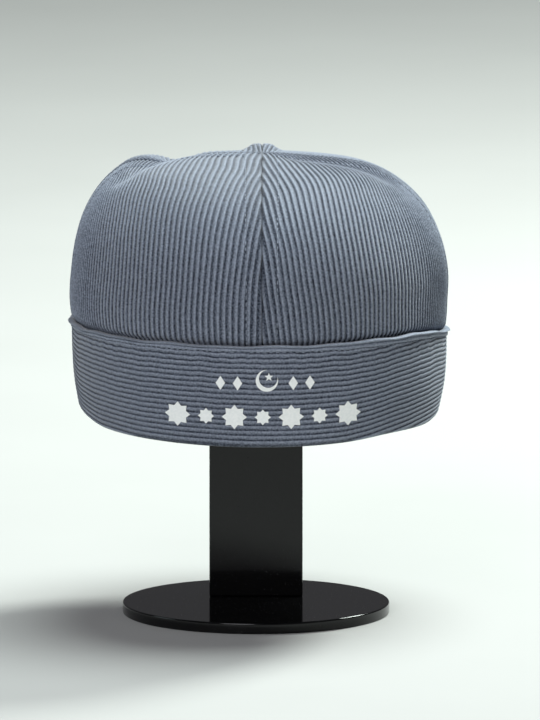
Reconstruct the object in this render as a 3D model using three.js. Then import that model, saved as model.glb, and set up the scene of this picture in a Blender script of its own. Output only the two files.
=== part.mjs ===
// A soft ribbed skullcap (taqiyah) on its plain black display stand.
// Units are millimetres, +Z is up, -Y is the front, and the origin is the centre of the
// stand's underside. The cap is four crown gores tucked into a band, with a flat print on
// the front of the band. The stand is a round foot, an upright slab and a hidden top plate.

import * as THREE from 'three';

// Cloth and clearances
const CLOTH = 2.2;            // one layer of ribbed cloth, from its rib tops to its inner face
const GAP = 0.3;              // clearance between two pieces that touch
const RIB_PITCH = 2.8;        // from one rib of the crown to the next
const RIB_RELIEF = 0.6;       // from the bottom of a groove to the top of a rib

// Where the cap stands
const SEAM_X = 2.7;           // the front and back seams, right of the stand's centre
const BAND_BOTTOM = 91;       // height of the band's lower fold

// The crown, row by row from its lower edge to its middle. The columns are the height and
// the reach from the seam plane to the left, to the right, to the front and to the back.
const CROWN_ROWS = [
  { z: 129.4, left: 82.3, right: 79.9, front: 100.9, back: 100.9 },
  { z: 137.0, left: 82.5, right: 80.1, front: 101.1, back: 101.1 },
  { z: 141.0, left: 85.5, right: 83.0, front: 104.0, back: 103.6 },
  { z: 150.0, left: 86.1, right: 83.6, front: 104.6, back: 104.0 },
  { z: 160.0, left: 85.3, right: 83.7, front: 103.8, back: 102.6 },
  { z: 170.0, left: 83.7, right: 81.2, front: 101.6, back: 99.0 },
  { z: 180.0, left: 80.7, right: 76.4, front: 97.0, back: 92.0 },
  { z: 189.0, left: 76.2, right: 70.0, front: 89.5, back: 81.5 },
  { z: 196.0, left: 71.2, right: 62.3, front: 79.5, back: 67.5 },
  { z: 201.0, left: 65.7, right: 54.3, front: 68.0, back: 51.0 },
  { z: 204.5, left: 60.0, right: 45.3, front: 55.0, back: 35.0 },
  { z: 206.9, left: 49.2, right: 31.8, front: 39.0, back: 22.0 },
  { z: 208.4, left: 28.2, right: 15.8, front: 20.0, back: 10.5 },
  { z: 208.9, left: 0.0, right: 0.0, front: 0.0, back: 0.0 },
];

// Height of the band's upper edge around the head. The angle is in degrees from the front
// seam, positive to the right.
const EDGE_HEIGHTS = [
  { angle: -180, z: 130.0 }, { angle: -150, z: 130.6 }, { angle: -120, z: 131.8 },
  { angle: -90, z: 133.4 }, { angle: -60, z: 135.6 }, { angle: -30, z: 137.0 },
  { angle: 0, z: 137.4 }, { angle: 30, z: 137.2 }, { angle: 50, z: 136.4 },
  { angle: 70, z: 133.2 }, { angle: 90, z: 128.8 }, { angle: 120, z: 127.0 },
  { angle: 150, z: 128.2 }, { angle: 180, z: 130.0 },
];
const EDGE_AT_FRONT = 137.4;  // the crown rows above are drawn for this edge height
const EDGE_FOLLOWS_BELOW = 142;   // below this the crown follows the edge's rise and fall
const EDGE_IGNORED_ABOVE = 188;   // above this it no longer does
const TOP_BEGINS = 186;       // above this the dents and the puff below begin to show
const TOP_IS_FULL = 200;      // and above this they are there in full

// Soft dents in the top, each a shallow trough between two points, measured from the seam
// crossing, a low swell behind the left one (its depth is negative), and the puffed stretch of
// the back seam that stands up behind them.
const DENTS = [
  { fromX: -38, fromY: 4, toX: -60, toY: -19, depth: 2.6, width: 7 },
  { fromX: 20, fromY: -8, toX: 52, toY: -14, depth: 1.6, width: 8 },
  { fromX: -37, fromY: 38, toX: -37, toY: 9, depth: 3, width: 8 },
  { fromX: -57, fromY: 12, toX: -52, toY: 24, depth: -1.3, width: 9 },
];
const SEAM_PUFF = { fromY: 16, toY: 34, height: 2.7, width: 7.2, run: 9 };

// How far a gore's ribs reach to its two seams, counted across them from the rib that ends in
// the middle of the crown, at a run up the cloth. The end seam is the front or back one. Few
// ribs are cut off there: they run up beside it, and it is the side seam that cuts most of them.
const RIB_REACHES = [
  { run: 0, leftEnd: 17.5, leftSide: 133, rightEnd: 25.2, rightSide: 127.9 },
  { run: 23.5, leftEnd: 17.1, leftSide: 132.2, rightEnd: 21.8, rightSide: 127.5 },
  { run: 34, leftEnd: 16.5, leftSide: 131, rightEnd: 20, rightSide: 127 },
  { run: 43, leftEnd: 15.6, leftSide: 127.8, rightEnd: 18.8, rightSide: 124.2 },
  { run: 52, leftEnd: 14.5, leftSide: 122.5, rightEnd: 17.5, rightSide: 119 },
  { run: 62, leftEnd: 13.1, leftSide: 114.6, rightEnd: 15.6, rightSide: 111.4 },
  { run: 75, leftEnd: 10.6, leftSide: 102.4, rightEnd: 12.8, rightSide: 96.7 },
  { run: 90, leftEnd: 7.6, leftSide: 89.4, rightEnd: 9.9, rightSide: 77.1 },
  { run: 106, leftEnd: 4.2, leftSide: 70.8, rightEnd: 6.2, rightSide: 56.8 },
  { run: 118, leftEnd: 2.6, leftSide: 53.4, rightEnd: 3.9, rightSide: 41.1 },
  { run: 134, leftEnd: 1.2, leftSide: 24.8, rightEnd: 1.8, rightSide: 19.7 },
  { run: 148.2, leftEnd: 0, leftSide: 0, rightEnd: 0, rightSide: 0 },
];

// The four gores, each a quarter of the crown from one seam to the next
const GORE_ANGLE = 90;
const GORES = [
  { name: 'crown_front_left', from: -90, before: 'leftSide', after: 'leftEnd', color: 0x7f8a9b },
  { name: 'crown_front_right', from: 0, before: 'rightEnd', after: 'rightSide', color: 0x858fa0 },
  { name: 'crown_back_right', from: 90, before: 'rightSide', after: 'rightEnd', color: 0x7f8a9b },
  { name: 'crown_back_left', from: -180, before: 'leftEnd', after: 'leftSide', color: 0x858fa0 },
];
const SEAM_CLEARANCE = 0.24;  // from a gore's edge to the plane of its seam
// Heights on the front of the crown where its cloth is given a row of points
const CROWN_LEVELS = [129.4, 137, 141.2, 158, 175, 189, 200, 206.6];
const INNER_COLUMN = 14;      // spacing of the plain inner face's columns

// The band, from its lower fold to its upper edge, as reaches from the seam plane at
// shares of its height.
const BAND_ROWS = [
  { share: 0.0, left: 81.2, right: 78.8, end: 100.0 },
  { share: 0.15, left: 82.6, right: 80.2, end: 101.2 },
  { share: 0.4, left: 84.4, right: 82.0, end: 102.7 },
  { share: 0.7, left: 85.3, right: 82.9, end: 103.8 },
  { share: 1.0, left: 85.5, right: 83.1, end: 104.2 },
];
const BAND_RIBS = 18;
const BAND_COLUMNS = 38;
const FOLD_HEIGHT = 1.2;      // the rounded lower fold, below the band's ribs
const FOLD_INSET = 1.3;       // the fold's lowest line, inward of the rib tops

// The stitched roll of the band's upper edge: its height, how far it stands out, the groove
// under it, where it is fullest, and how its upper edge turns inward
const HEM = {
  height: 3, proud: 1.2, groove: 0.2, grooveHeight: 0.6,
  lowerTurn: 2.1, lowerProud: 0.95, upperTurn: 0.9, edgeProud: 0.35, edgeInset: 1.5, innerTurn: 1.5,
};

// The print on the front of the band: thin flat shapes, placed by their distance across
// from the seam plane and their height above the stand's underside.
const PRINT_THICKNESS = 0.5;
const PRINT_LIFT = 0.4;       // from the rib tops to the back of the print
const LOZENGE = { halfWidth: 2.1, halfHeight: 3.2 };
const LOZENGE_HEIGHT = 120.6;
const LOZENGE_PLACES = [-18.4, -10.8, 13.9, 21.3];
const CRESCENT_STEPS = 18;    // facets of each of its two arcs
const CRESCENT = { across: 2.2, height: 121.9, outer: 4.95, inner: 4.1, shift: 1.08, opensAt: 55 };
const STAR = { across: 3.1, height: 123.5, outer: 2.0, inner: 0.85, points: 5 };
const ROSETTE_ROW = { count: 7, pitch: 12.6, across: 0.4, height: 105.2 };
const ROSETTE = { outer: 5.6, inner: 4.0, points: 8 };
const ROSETTE_DOT = { outer: 3.6, inner: 2.6, points: 8 };

// The stand
const FOOT_RADIUS = 60;
const FOOT_THICKNESS = 5;
const FOOT_SIDES = 48;
const PLATE_BEVEL = 0.4;
const SLAB_WIDTH = 42;
const SLAB_DEPTH = 9;
const SLAB_FRONT_Y = 12;
const SLAB_BEVEL = 0.6;
const TOP_RADIUS = 28;        // the hidden plate that the crown rests on
const TOP_THICKNESS = 4;
const TOP_SIDES = 24;
const TOP_UNDERSIDE = 196.9;

const RADIANS = Math.PI / 180;

// A smooth curve through table values at increasing knots
function curveThrough(knots, values) {
  const last = knots.length - 1;
  const slopeAt = (i) => {
    const before = Math.max(i - 1, 0);
    const after = Math.min(i + 1, last);
    return (values[after] - values[before]) / (knots[after] - knots[before]);
  };
  const slopes = values.map((_, i) => slopeAt(i));
  return (at) => {
    let i = 0;
    while (i < last - 1 && at > knots[i + 1]) i += 1;
    const span = knots[i + 1] - knots[i];
    const s = THREE.MathUtils.clamp((at - knots[i]) / span, 0, 1);
    const s2 = s * s;
    const s3 = s2 * s;
    return (2 * s3 - 3 * s2 + 1) * values[i] + (s3 - 2 * s2 + s) * span * slopes[i]
      + (3 * s2 - 2 * s3) * values[i + 1] + (s3 - s2) * span * slopes[i + 1];
  };
}

// Distance along the cloth from the crown's lower edge to each of its rows
const crownRuns = [0];
for (let i = 1; i < CROWN_ROWS.length; i += 1) {
  const reach = (row) => (row.left + row.right + row.front + row.back) / 4;
  const rise = CROWN_ROWS[i].z - CROWN_ROWS[i - 1].z;
  crownRuns.push(crownRuns[i - 1] + Math.hypot(rise, reach(CROWN_ROWS[i]) - reach(CROWN_ROWS[i - 1])));
}
const CROWN_RUN = crownRuns[crownRuns.length - 1];
const crownColumn = (key) => curveThrough(crownRuns, CROWN_ROWS.map((row) => row[key]));
const crownShape = {
  z: crownColumn('z'),
  left: crownColumn('left'),
  right: crownColumn('right'),
  front: crownColumn('front'),
  back: crownColumn('back'),
};
const edgeHeight = curveThrough(
  EDGE_HEIGHTS.map((row) => row.angle),
  EDGE_HEIGHTS.map((row) => row.z),
);

const wrapDegrees = (angle) => THREE.MathUtils.euclideanModulo(angle + 180, 360) - 180;

// The run at which the front of the crown reaches a height
function runAtHeight(height) {
  let low = 0;
  let high = CROWN_RUN;
  for (let i = 0; i < 40; i += 1) {
    const middle = (low + high) / 2;
    if (crownShape.z(middle) < height) low = middle;
    else high = middle;
  }
  return (low + high) / 2;
}

// A point of an oval ring. Its angle runs evenly along the ring's length.
function ringPoint(angle, side, end) {
  const turn = angle * RADIANS;
  const evenness = (end - side) / (2 * (end + side) + 1e-6);
  const phi = turn + evenness * Math.sin(2 * turn);
  return [side * Math.sin(phi), -end * Math.cos(phi)];
}

function dentDepth(x, y) {
  let depth = 0;
  for (const dent of DENTS) {
    const alongX = dent.toX - dent.fromX;
    const alongY = dent.toY - dent.fromY;
    const share = ((x - dent.fromX) * alongX + (y - dent.fromY) * alongY)
      / (alongX * alongX + alongY * alongY);
    const near = THREE.MathUtils.clamp(share, 0, 1);
    const away = Math.hypot(x - dent.fromX - near * alongX, y - dent.fromY - near * alongY);
    depth += dent.depth * Math.exp(-((away / dent.width) ** 2));
  }
  return depth;
}

function seamPuff(x, y) {
  const beyond = Math.max(SEAM_PUFF.fromY - y, y - SEAM_PUFF.toY, 0);
  const along = Math.exp(-((beyond / SEAM_PUFF.run) ** 2));
  return SEAM_PUFF.height * along * Math.exp(-((x / SEAM_PUFF.width) ** 4));
}

// A point of the crown's rib tops: the angle is from the front seam, the run is the
// distance along the cloth from the lower edge.
function crownPoint(angle, run) {
  const around = wrapDegrees(angle);
  const side = around < 0 ? crownShape.left(run) : crownShape.right(run);
  const end = Math.abs(around) < 90 ? crownShape.front(run) : crownShape.back(run);
  const [x, y] = ringPoint(around, Math.max(side, 0), Math.max(end, 0));
  const drawn = crownShape.z(run);
  const follow = 1 - THREE.MathUtils.smoothstep(drawn, EDGE_FOLLOWS_BELOW, EDGE_IGNORED_ABOVE);
  const lifted = drawn + follow * (edgeHeight(around) - EDGE_AT_FRONT);
  const onTop = THREE.MathUtils.smoothstep(drawn, TOP_BEGINS, TOP_IS_FULL);
  const z = lifted + onTop * (seamPuff(x, y) - dentDepth(x, y));
  return new THREE.Vector3(SEAM_X + x, y, z);
}

// Outward direction of the crown there, from its slopes over a small turn and a small step.
// The slopes are taken a little short of the middle, where all angles meet.
const SLOPE_TURN = 0.4;
const SLOPE_STEP = 0.4;
const SHORT_OF_MIDDLE = 3;

function crownNormal(angle, run) {
  const steady = Math.min(run, CROWN_RUN - SHORT_OF_MIDDLE);
  const across = crownPoint(angle + SLOPE_TURN, steady).sub(crownPoint(angle - SLOPE_TURN, steady));
  const up = crownPoint(angle, steady + SLOPE_STEP)
    .sub(crownPoint(angle, Math.max(steady - SLOPE_STEP, 0)));
  return across.cross(up).normalize();
}

function crownAt(angle, run, out) {
  return crownPoint(angle, run).addScaledVector(crownNormal(angle, run), out);
}

// A closed solid is collected as points and triangles and then made one geometry
class SolidBuilder {
  constructor() {
    this.positions = [];
    this.triangles = [];
  }

  point(vector) {
    this.positions.push(vector.x, vector.y, vector.z);
    return this.positions.length / 3 - 1;
  }

  triangle(a, b, c) {
    if (a !== b && b !== c && a !== c) this.triangles.push(a, b, c);
  }

  // Triangles between two lines of points. Each point has its place along the line in at,
  // and seen from outside the first line is on the left of the way that at grows.
  strip(first, second) {
    let i = 0;
    let j = 0;
    while (i < first.length - 1 || j < second.length - 1) {
      const canFirst = i < first.length - 1;
      const canSecond = j < second.length - 1;
      if (!canSecond || (canFirst && first[i + 1].at <= second[j + 1].at)) {
        this.triangle(first[i].index, second[j].index, first[i + 1].index);
        i += 1;
      } else {
        this.triangle(first[i].index, second[j].index, second[j + 1].index);
        j += 1;
      }
    }
  }

  mesh(name, material) {
    const geometry = new THREE.BufferGeometry();
    geometry.setAttribute('position', new THREE.Float32BufferAttribute(this.positions, 3));
    geometry.setIndex(this.triangles);
    geometry.computeVertexNormals();
    const mesh = new THREE.Mesh(geometry, material);
    mesh.name = name;
    return mesh;
  }
}

// Length of an eighth of the crown's ring, which is half of one gore's width
function halfGore(run) {
  const { left, right, front, back } = crownShape;
  const side = (left(run) + right(run)) / 2;
  const end = (front(run) + back(run)) / 2;
  return (Math.PI / 4) * Math.sqrt((side * side + end * end) / 2);
}

const GORE_RUNS = CROWN_LEVELS.map((height, i) => (i === 0 ? 0 : runAtHeight(height)));
const LEAST_STEP = 1.2;       // no two points along a rib or seam lie closer than this

const lastRow = RIB_REACHES[RIB_REACHES.length - 1];
const reachKnots = RIB_REACHES.map((row) => (row.run * CROWN_RUN) / lastRow.run);
const reachColumn = (key) => curveThrough(reachKnots, RIB_REACHES.map((row) => row[key]));
const ribReach = {
  leftEnd: reachColumn('leftEnd'),
  leftSide: reachColumn('leftSide'),
  rightEnd: reachColumn('rightEnd'),
  rightSide: reachColumn('rightSide'),
};

// Angle round the crown of a place across the ribs of a gore
function goreAngle(gore, across, run) {
  const before = ribReach[gore.before](run);
  const after = ribReach[gore.after](run);
  return gore.from + (GORE_ANGLE * (across + before)) / Math.max(before + after, 1e-6);
}

// Reach of the gore's own edge on one side (-1 towards its start, 1 towards its end)
function edgeReach(gore, side, run) {
  const before = ribReach[gore.before](run);
  const after = ribReach[gore.after](run);
  const kept = (SEAM_CLEARANCE * (before + after)) / (2 * Math.max(halfGore(run), 1e-3));
  return Math.max((side < 0 ? before : after) - kept, 0);
}

// The run at which the rib at an offset meets the seam on that side
function ribEnd(gore, side, offset) {
  let low = 0;
  let high = CROWN_RUN;
  for (let i = 0; i < 50; i += 1) {
    const middle = (low + high) / 2;
    if (edgeReach(gore, side, middle) > offset) low = middle;
    else high = middle;
  }
  return low;
}

// Height of the ribbed face against its rib tops, at a distance from the middle line
function ribHeight(offset) {
  const place = Math.abs(offset / RIB_PITCH);
  return -RIB_RELIEF * 2 * Math.abs(place - Math.round(place));
}

// Offsets of a face's columns. The last one lies on the edge, and the one before it stays
// away from it by at least this share of their spacing.
const LEAST_LAST_SPACE = 0.4;

function columnOffsets(widest, spacing) {
  const offsets = [0];
  for (let offset = spacing; offset < widest - spacing * LEAST_LAST_SPACE; offset += spacing) {
    offsets.push(offset);
  }
  return [...offsets, widest];
}

// Part of one face of a gore, from its middle rib to the seam on one side. The columns run
// along the ribs up to the seam, and the seam has points of its own between their ends.
function sideFace(builder, gore, side, face, middleColumn) {
  const widest = edgeReach(gore, side, 0) - 1e-4;
  const add = (offset, run) => {
    const angle = goreAngle(gore, side * offset, run);
    return { at: run, index: builder.point(crownAt(angle, run, face.out(offset))) };
  };
  const column = (offset) => {
    const end = offset > 0
      ? ribEnd(gore, side, offset)
      : Math.min(ribEnd(gore, -1, 0), ribEnd(gore, 1, 0));
    const runs = [...GORE_RUNS.filter((run) => run < end - LEAST_STEP), end];
    return { offset, end, points: runs.map((run) => add(offset, run)) };
  };
  const columns = columnOffsets(widest, face.spacing).map((offset, i) => (
    i === 0 && middleColumn ? middleColumn : column(offset)
  ));
  const seam = [];
  for (let i = columns.length - 1; i > 0; i -= 1) {
    const near = columns[i];
    const far = columns[i - 1];
    const between = GORE_RUNS
      .filter((run) => run > near.end + LEAST_STEP && run < far.end - LEAST_STEP)
      .map((run) => add(edgeReach(gore, side, run), run));
    const seamward = [...near.points, ...between];
    if (side * face.facing > 0) builder.strip(far.points, seamward);
    else builder.strip(seamward, far.points);
    seam.push(near.points[near.points.length - 1], ...between);
  }
  seam.push(columns[0].points[columns[0].points.length - 1]);
  const lower = columns.map((each) => ({ at: side * each.offset, index: each.points[0].index }));
  return { middleColumn: columns[0], seam, lower };
}

function buildGore(gore) {
  const builder = new SolidBuilder();
  const faces = [
    { out: ribHeight, spacing: RIB_PITCH / 2, facing: 1 },
    { out: () => -CLOTH, spacing: INNER_COLUMN, facing: -1 },
  ];
  const [outer, inner] = faces.map((face) => {
    const right = sideFace(builder, gore, 1, face, null);
    const left = sideFace(builder, gore, -1, face, right.middleColumn);
    const lower = [...left.lower.slice(1).reverse(), ...right.lower];
    return { lower, left: left.seam, right: right.seam };
  });
  builder.strip(outer.lower, inner.lower);
  builder.strip(outer.right, inner.right);
  builder.strip(inner.left, outer.left);
  return builder.mesh(gore.name, new THREE.MeshStandardMaterial({
    color: gore.color, roughness: 0.92, metalness: 0,
  }));
}

// The band's shape at a share of its height
const bandShares = BAND_ROWS.map((row) => row.share);
const bandColumn = (key) => curveThrough(bandShares, BAND_ROWS.map((row) => row[key]));
const bandShape = { left: bandColumn('left'), right: bandColumn('right'), end: bandColumn('end') };

function bandPoint(angle, height, out) {
  const around = wrapDegrees(angle);
  const top = edgeHeight(around);
  const share = THREE.MathUtils.clamp((height - BAND_BOTTOM) / (top - BAND_BOTTOM), 0, 1);
  const side = around < 0 ? bandShape.left(share) : bandShape.right(share);
  const [x, y] = ringPoint(around, side + out, bandShape.end(share) + out);
  return new THREE.Vector3(SEAM_X + x, y, height);
}

// The band's section, as heights and distances out from its rib tops: lower fold, ribs,
// groove, stitched roll, and the plain inner face.
function bandSection(angle) {
  const top = edgeHeight(wrapDegrees(angle));
  const ribsFrom = BAND_BOTTOM + FOLD_HEIGHT;
  const ribsTo = top - HEM.height - HEM.grooveHeight;
  const step = (ribsTo - ribsFrom) / (2 * BAND_RIBS);
  const section = [{ z: BAND_BOTTOM, out: -FOLD_INSET }];
  for (let i = 0; i <= 2 * BAND_RIBS; i += 1) {
    section.push({ z: ribsFrom + i * step, out: i % 2 === 1 ? 0 : -RIB_RELIEF });
  }
  section.push({ z: top - HEM.height, out: -RIB_RELIEF - HEM.groove });
  section.push({ z: top - HEM.lowerTurn, out: HEM.lowerProud });
  section.push({ z: top - HEM.upperTurn, out: HEM.proud });
  section.push({ z: top, out: HEM.edgeProud });
  section.push({ z: top, out: -HEM.edgeInset });
  section.push({ z: top - HEM.innerTurn, out: -CLOTH });
  section.push({ z: (top + BAND_BOTTOM) / 2, out: -CLOTH });
  section.push({ z: BAND_BOTTOM + FOLD_HEIGHT, out: -CLOTH });
  return section;
}

function buildBand() {
  const builder = new SolidBuilder();
  const columns = [];
  for (let i = 0; i < BAND_COLUMNS; i += 1) {
    const angle = (360 * i) / BAND_COLUMNS;
    columns.push(bandSection(angle).map((place) => builder.point(bandPoint(angle, place.z, place.out))));
  }
  columns.forEach((column, i) => {
    const next = columns[(i + 1) % BAND_COLUMNS];
    column.forEach((low, j) => {
      const up = (j + 1) % column.length;
      builder.triangle(low, next[j], next[up]);
      builder.triangle(low, next[up], column[up]);
    });
  });
  return builder.mesh('band', new THREE.MeshStandardMaterial({
    color: 0x7a8494, roughness: 0.92, metalness: 0,
  }));
}

// Outlines of the print's shapes, around their own middle
function starOutline({ outer, inner, points }) {
  const outline = [];
  for (let i = 0; i < 2 * points; i += 1) {
    const turn = (Math.PI * i) / points;
    const radius = i % 2 === 0 ? outer : inner;
    outline.push(new THREE.Vector2(radius * Math.sin(turn), radius * Math.cos(turn)));
  }
  return outline.reverse();
}

function lozengeOutline({ halfWidth, halfHeight }) {
  return [
    new THREE.Vector2(halfWidth, 0), new THREE.Vector2(0, halfHeight),
    new THREE.Vector2(-halfWidth, 0), new THREE.Vector2(0, -halfHeight),
  ];
}

function crescentOutline({ outer, inner, shift, opensAt }) {
  const half = Math.acos((outer ** 2 + shift ** 2 - inner ** 2) / (2 * outer * shift));
  const innerHalf = Math.PI - Math.acos((inner ** 2 + shift ** 2 - outer ** 2) / (2 * inner * shift));
  const facing = opensAt * RADIANS;
  const outline = [];
  for (let i = 0; i <= CRESCENT_STEPS; i += 1) {
    const turn = facing + half + ((2 * Math.PI - 2 * half) * i) / CRESCENT_STEPS;
    outline.push(new THREE.Vector2(outer * Math.cos(turn), outer * Math.sin(turn)));
  }
  for (let i = CRESCENT_STEPS - 1; i > 0; i -= 1) {
    const turn = facing + innerHalf + ((2 * Math.PI - 2 * innerHalf) * i) / CRESCENT_STEPS;
    outline.push(new THREE.Vector2(
      shift * Math.cos(facing) + inner * Math.cos(turn),
      shift * Math.sin(facing) + inner * Math.sin(turn),
    ));
  }
  return outline;
}

// The angle at which the band's front is a distance across from the seam plane
function angleAcross(across, height) {
  let low = -60;
  let high = 60;
  for (let i = 0; i < 40; i += 1) {
    const middle = (low + high) / 2;
    if (bandPoint(middle, height, 0).x - SEAM_X < across) low = middle;
    else high = middle;
  }
  return (low + high) / 2;
}

// A thin shape lying on the ribs of the band's front
function buildPrint(name, outline, across, height) {
  const builder = new SolidBuilder();
  const lay = (out) => outline.map((corner) => {
    const z = height + corner.y;
    return builder.point(bandPoint(angleAcross(across + corner.x, z), z, out));
  });
  const front = lay(PRINT_LIFT + PRINT_THICKNESS);
  const rear = lay(PRINT_LIFT);
  THREE.ShapeUtils.triangulateShape(outline, []).forEach(([a, b, c]) => {
    builder.triangle(front[a], front[b], front[c]);
    builder.triangle(rear[a], rear[c], rear[b]);
  });
  outline.forEach((_, i) => {
    const next = (i + 1) % outline.length;
    builder.triangle(front[i], rear[i], rear[next]);
    builder.triangle(front[i], rear[next], front[next]);
  });
  return builder.mesh(name, new THREE.MeshStandardMaterial({
    color: 0xe1e1da, roughness: 0.6, metalness: 0,
  }));
}

function buildPrints() {
  const prints = LOZENGE_PLACES.map((across, i) => buildPrint(
    `print_lozenge_${i + 1}`, lozengeOutline(LOZENGE), across, LOZENGE_HEIGHT,
  ));
  prints.push(buildPrint('print_crescent', crescentOutline(CRESCENT), CRESCENT.across, CRESCENT.height));
  prints.push(buildPrint('print_star', starOutline(STAR), STAR.across, STAR.height));
  for (let i = 0; i < ROSETTE_ROW.count; i += 1) {
    const across = ROSETTE_ROW.across + (i - (ROSETTE_ROW.count - 1) / 2) * ROSETTE_ROW.pitch;
    const outline = starOutline(i % 2 === 0 ? ROSETTE : ROSETTE_DOT);
    prints.push(buildPrint(`print_rosette_${i + 1}`, outline, across, ROSETTE_ROW.height));
  }
  return prints;
}

function glossBlack() {
  return new THREE.MeshStandardMaterial({ color: 0x060606, roughness: 0.08, metalness: 0 });
}

// A flat round plate with small bevels, its underside at height 0
function buildPlate(name, radius, thickness, sides) {
  const geometry = new THREE.LatheGeometry([
    new THREE.Vector2(0, 0),
    new THREE.Vector2(radius - PLATE_BEVEL, 0),
    new THREE.Vector2(radius, PLATE_BEVEL),
    new THREE.Vector2(radius, thickness - PLATE_BEVEL),
    new THREE.Vector2(radius - PLATE_BEVEL, thickness),
    new THREE.Vector2(0, thickness),
  ], sides);
  geometry.rotateX(Math.PI / 2);
  const mesh = new THREE.Mesh(geometry, glossBlack());
  mesh.name = name;
  return mesh;
}

function buildSlab() {
  const half = SLAB_WIDTH / 2;
  const outline = new THREE.Shape([
    new THREE.Vector2(-half + SLAB_BEVEL, 0), new THREE.Vector2(half - SLAB_BEVEL, 0),
    new THREE.Vector2(half, SLAB_BEVEL), new THREE.Vector2(half, SLAB_DEPTH - SLAB_BEVEL),
    new THREE.Vector2(half - SLAB_BEVEL, SLAB_DEPTH), new THREE.Vector2(-half + SLAB_BEVEL, SLAB_DEPTH),
    new THREE.Vector2(-half, SLAB_DEPTH - SLAB_BEVEL), new THREE.Vector2(-half, SLAB_BEVEL),
  ]);
  const height = TOP_UNDERSIDE - FOOT_THICKNESS - 2 * GAP;
  const geometry = new THREE.ExtrudeGeometry(outline, { depth: height, bevelEnabled: false });
  const mesh = new THREE.Mesh(geometry, glossBlack());
  mesh.position.set(0, SLAB_FRONT_Y, FOOT_THICKNESS + GAP);
  mesh.name = 'stand_slab';
  return mesh;
}

const group = new THREE.Group();
GORES.forEach((gore) => group.add(buildGore(gore)));
group.add(buildBand());
buildPrints().forEach((print) => group.add(print));
group.add(buildPlate('stand_foot', FOOT_RADIUS, FOOT_THICKNESS, FOOT_SIDES));
group.add(buildSlab());
const topPlate = buildPlate('stand_top_plate', TOP_RADIUS, TOP_THICKNESS, TOP_SIDES);
topPlate.position.set(0, SLAB_FRONT_Y, TOP_UNDERSIDE);
group.add(topPlate);

export default group;
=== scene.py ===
import math

import bpy
import numpy as np
from mathutils.geometry import delaunay_2d_cdt
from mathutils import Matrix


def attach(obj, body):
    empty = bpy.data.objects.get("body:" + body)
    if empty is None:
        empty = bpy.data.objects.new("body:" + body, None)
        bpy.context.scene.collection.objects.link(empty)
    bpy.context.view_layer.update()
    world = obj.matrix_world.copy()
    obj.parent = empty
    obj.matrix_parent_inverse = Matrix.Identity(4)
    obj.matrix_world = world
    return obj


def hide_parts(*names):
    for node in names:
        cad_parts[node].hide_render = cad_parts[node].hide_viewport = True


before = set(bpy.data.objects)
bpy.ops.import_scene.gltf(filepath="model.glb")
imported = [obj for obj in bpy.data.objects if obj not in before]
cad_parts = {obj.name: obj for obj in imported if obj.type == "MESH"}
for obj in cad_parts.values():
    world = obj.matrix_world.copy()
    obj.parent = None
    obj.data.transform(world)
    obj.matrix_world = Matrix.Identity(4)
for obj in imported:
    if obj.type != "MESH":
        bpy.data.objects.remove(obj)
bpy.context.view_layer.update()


# The view.
# A long lens in front of the cap and a little above it, so the sides of the cap hardly taper
# and the top of the foot shows as a narrow oval.
VIEW_ELEVATION = math.radians(9.05)
VIEW_DISTANCE = 9.0
VIEW_AIM = (0.0063, 0.0, 0.1147)
VIEW_LENS = 1002.1
VIEW_ENDS_AT = 200.0

camera = bpy.data.objects.new("view", bpy.data.cameras.new("view"))
bpy.context.scene.collection.objects.link(camera)
camera.data.sensor_width = 36.0
camera.data.lens = VIEW_LENS
camera.location = (
    VIEW_AIM[0],
    VIEW_AIM[1] - VIEW_DISTANCE * math.cos(VIEW_ELEVATION),
    VIEW_AIM[2] + VIEW_DISTANCE * math.sin(VIEW_ELEVATION),
)
camera.rotation_euler = (math.radians(90) - VIEW_ELEVATION, 0, 0)
camera.data.clip_end = VIEW_ENDS_AT
bpy.context.scene.camera = camera


# The crown.
# Four gores of soft corded knit, cut so that their cords run up beside the front and back seams
# and are cut off by the side seams. They are sewn edge to edge, which rolls their edges into a
# crease, and topstitched beside each seam. Lengths are in millimetres, angles in degrees.
MM = 0.001
SEAM_X = 2.7
CROWN_ROWS = [  # height, then reach to the left, right, front and back of the seam plane
    (129.4, 82.3, 79.9, 100.9, 100.9),
    (137.0, 82.5, 80.1, 101.1, 101.1),
    (138.8, 84.6, 81.8, 103.1, 102.8),
    (141.0, 85.5, 82.4, 104.0, 103.6),
    (150.0, 86.1, 82.9, 104.6, 104.0),
    (160.0, 85.3, 83.3, 103.8, 102.6),
    (170.0, 83.7, 81.2, 101.6, 99.0),
    (180.0, 80.7, 76.4, 97.0, 92.0),
    (189.0, 76.2, 70.0, 89.5, 81.5),
    (196.0, 71.2, 62.3, 79.5, 67.5),
    (201.0, 65.7, 54.3, 68.0, 51.0),
    (204.5, 60.0, 45.3, 55.0, 35.0),
    (206.9, 49.2, 31.8, 39.0, 22.0),
    (208.4, 28.2, 15.8, 20.0, 10.5),
    (208.9, 0.0, 0.0, 0.0, 0.0),
]
EDGE_HEIGHTS = [  # angle from the front seam, height of the band's upper edge there
    (-180, 130.0), (-150, 130.6), (-120, 131.8), (-90, 133.4), (-60, 135.6), (-30, 137.0),
    (0, 137.4), (30, 137.2), (50, 136.4), (70, 133.2), (90, 128.8), (120, 127.0),
    (150, 128.2), (180, 130.0),
]
EDGE_AT_FRONT = 137.4
EDGE_FOLLOWED = (142, 188)  # up to the first height the crown follows the band's edge in full
TOP_SHOWS = (186, 200)  # the dents and the puff begin at the first height and are full at the second
DENTS = [  # from x, y to x, y, depth, width
    (-38, 4, -60, -19, 2.6, 7),
    (20, -8, 52, -14, 1.6, 8),
    (-37, 38, -37, 9, 3.0, 8),
    (-57, 12, -52, 24, -1.3, 9),
]
SEAM_PUFF = {"from_y": 16, "to_y": 34, "height": 2.7, "width": 7.2, "run": 9}
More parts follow.
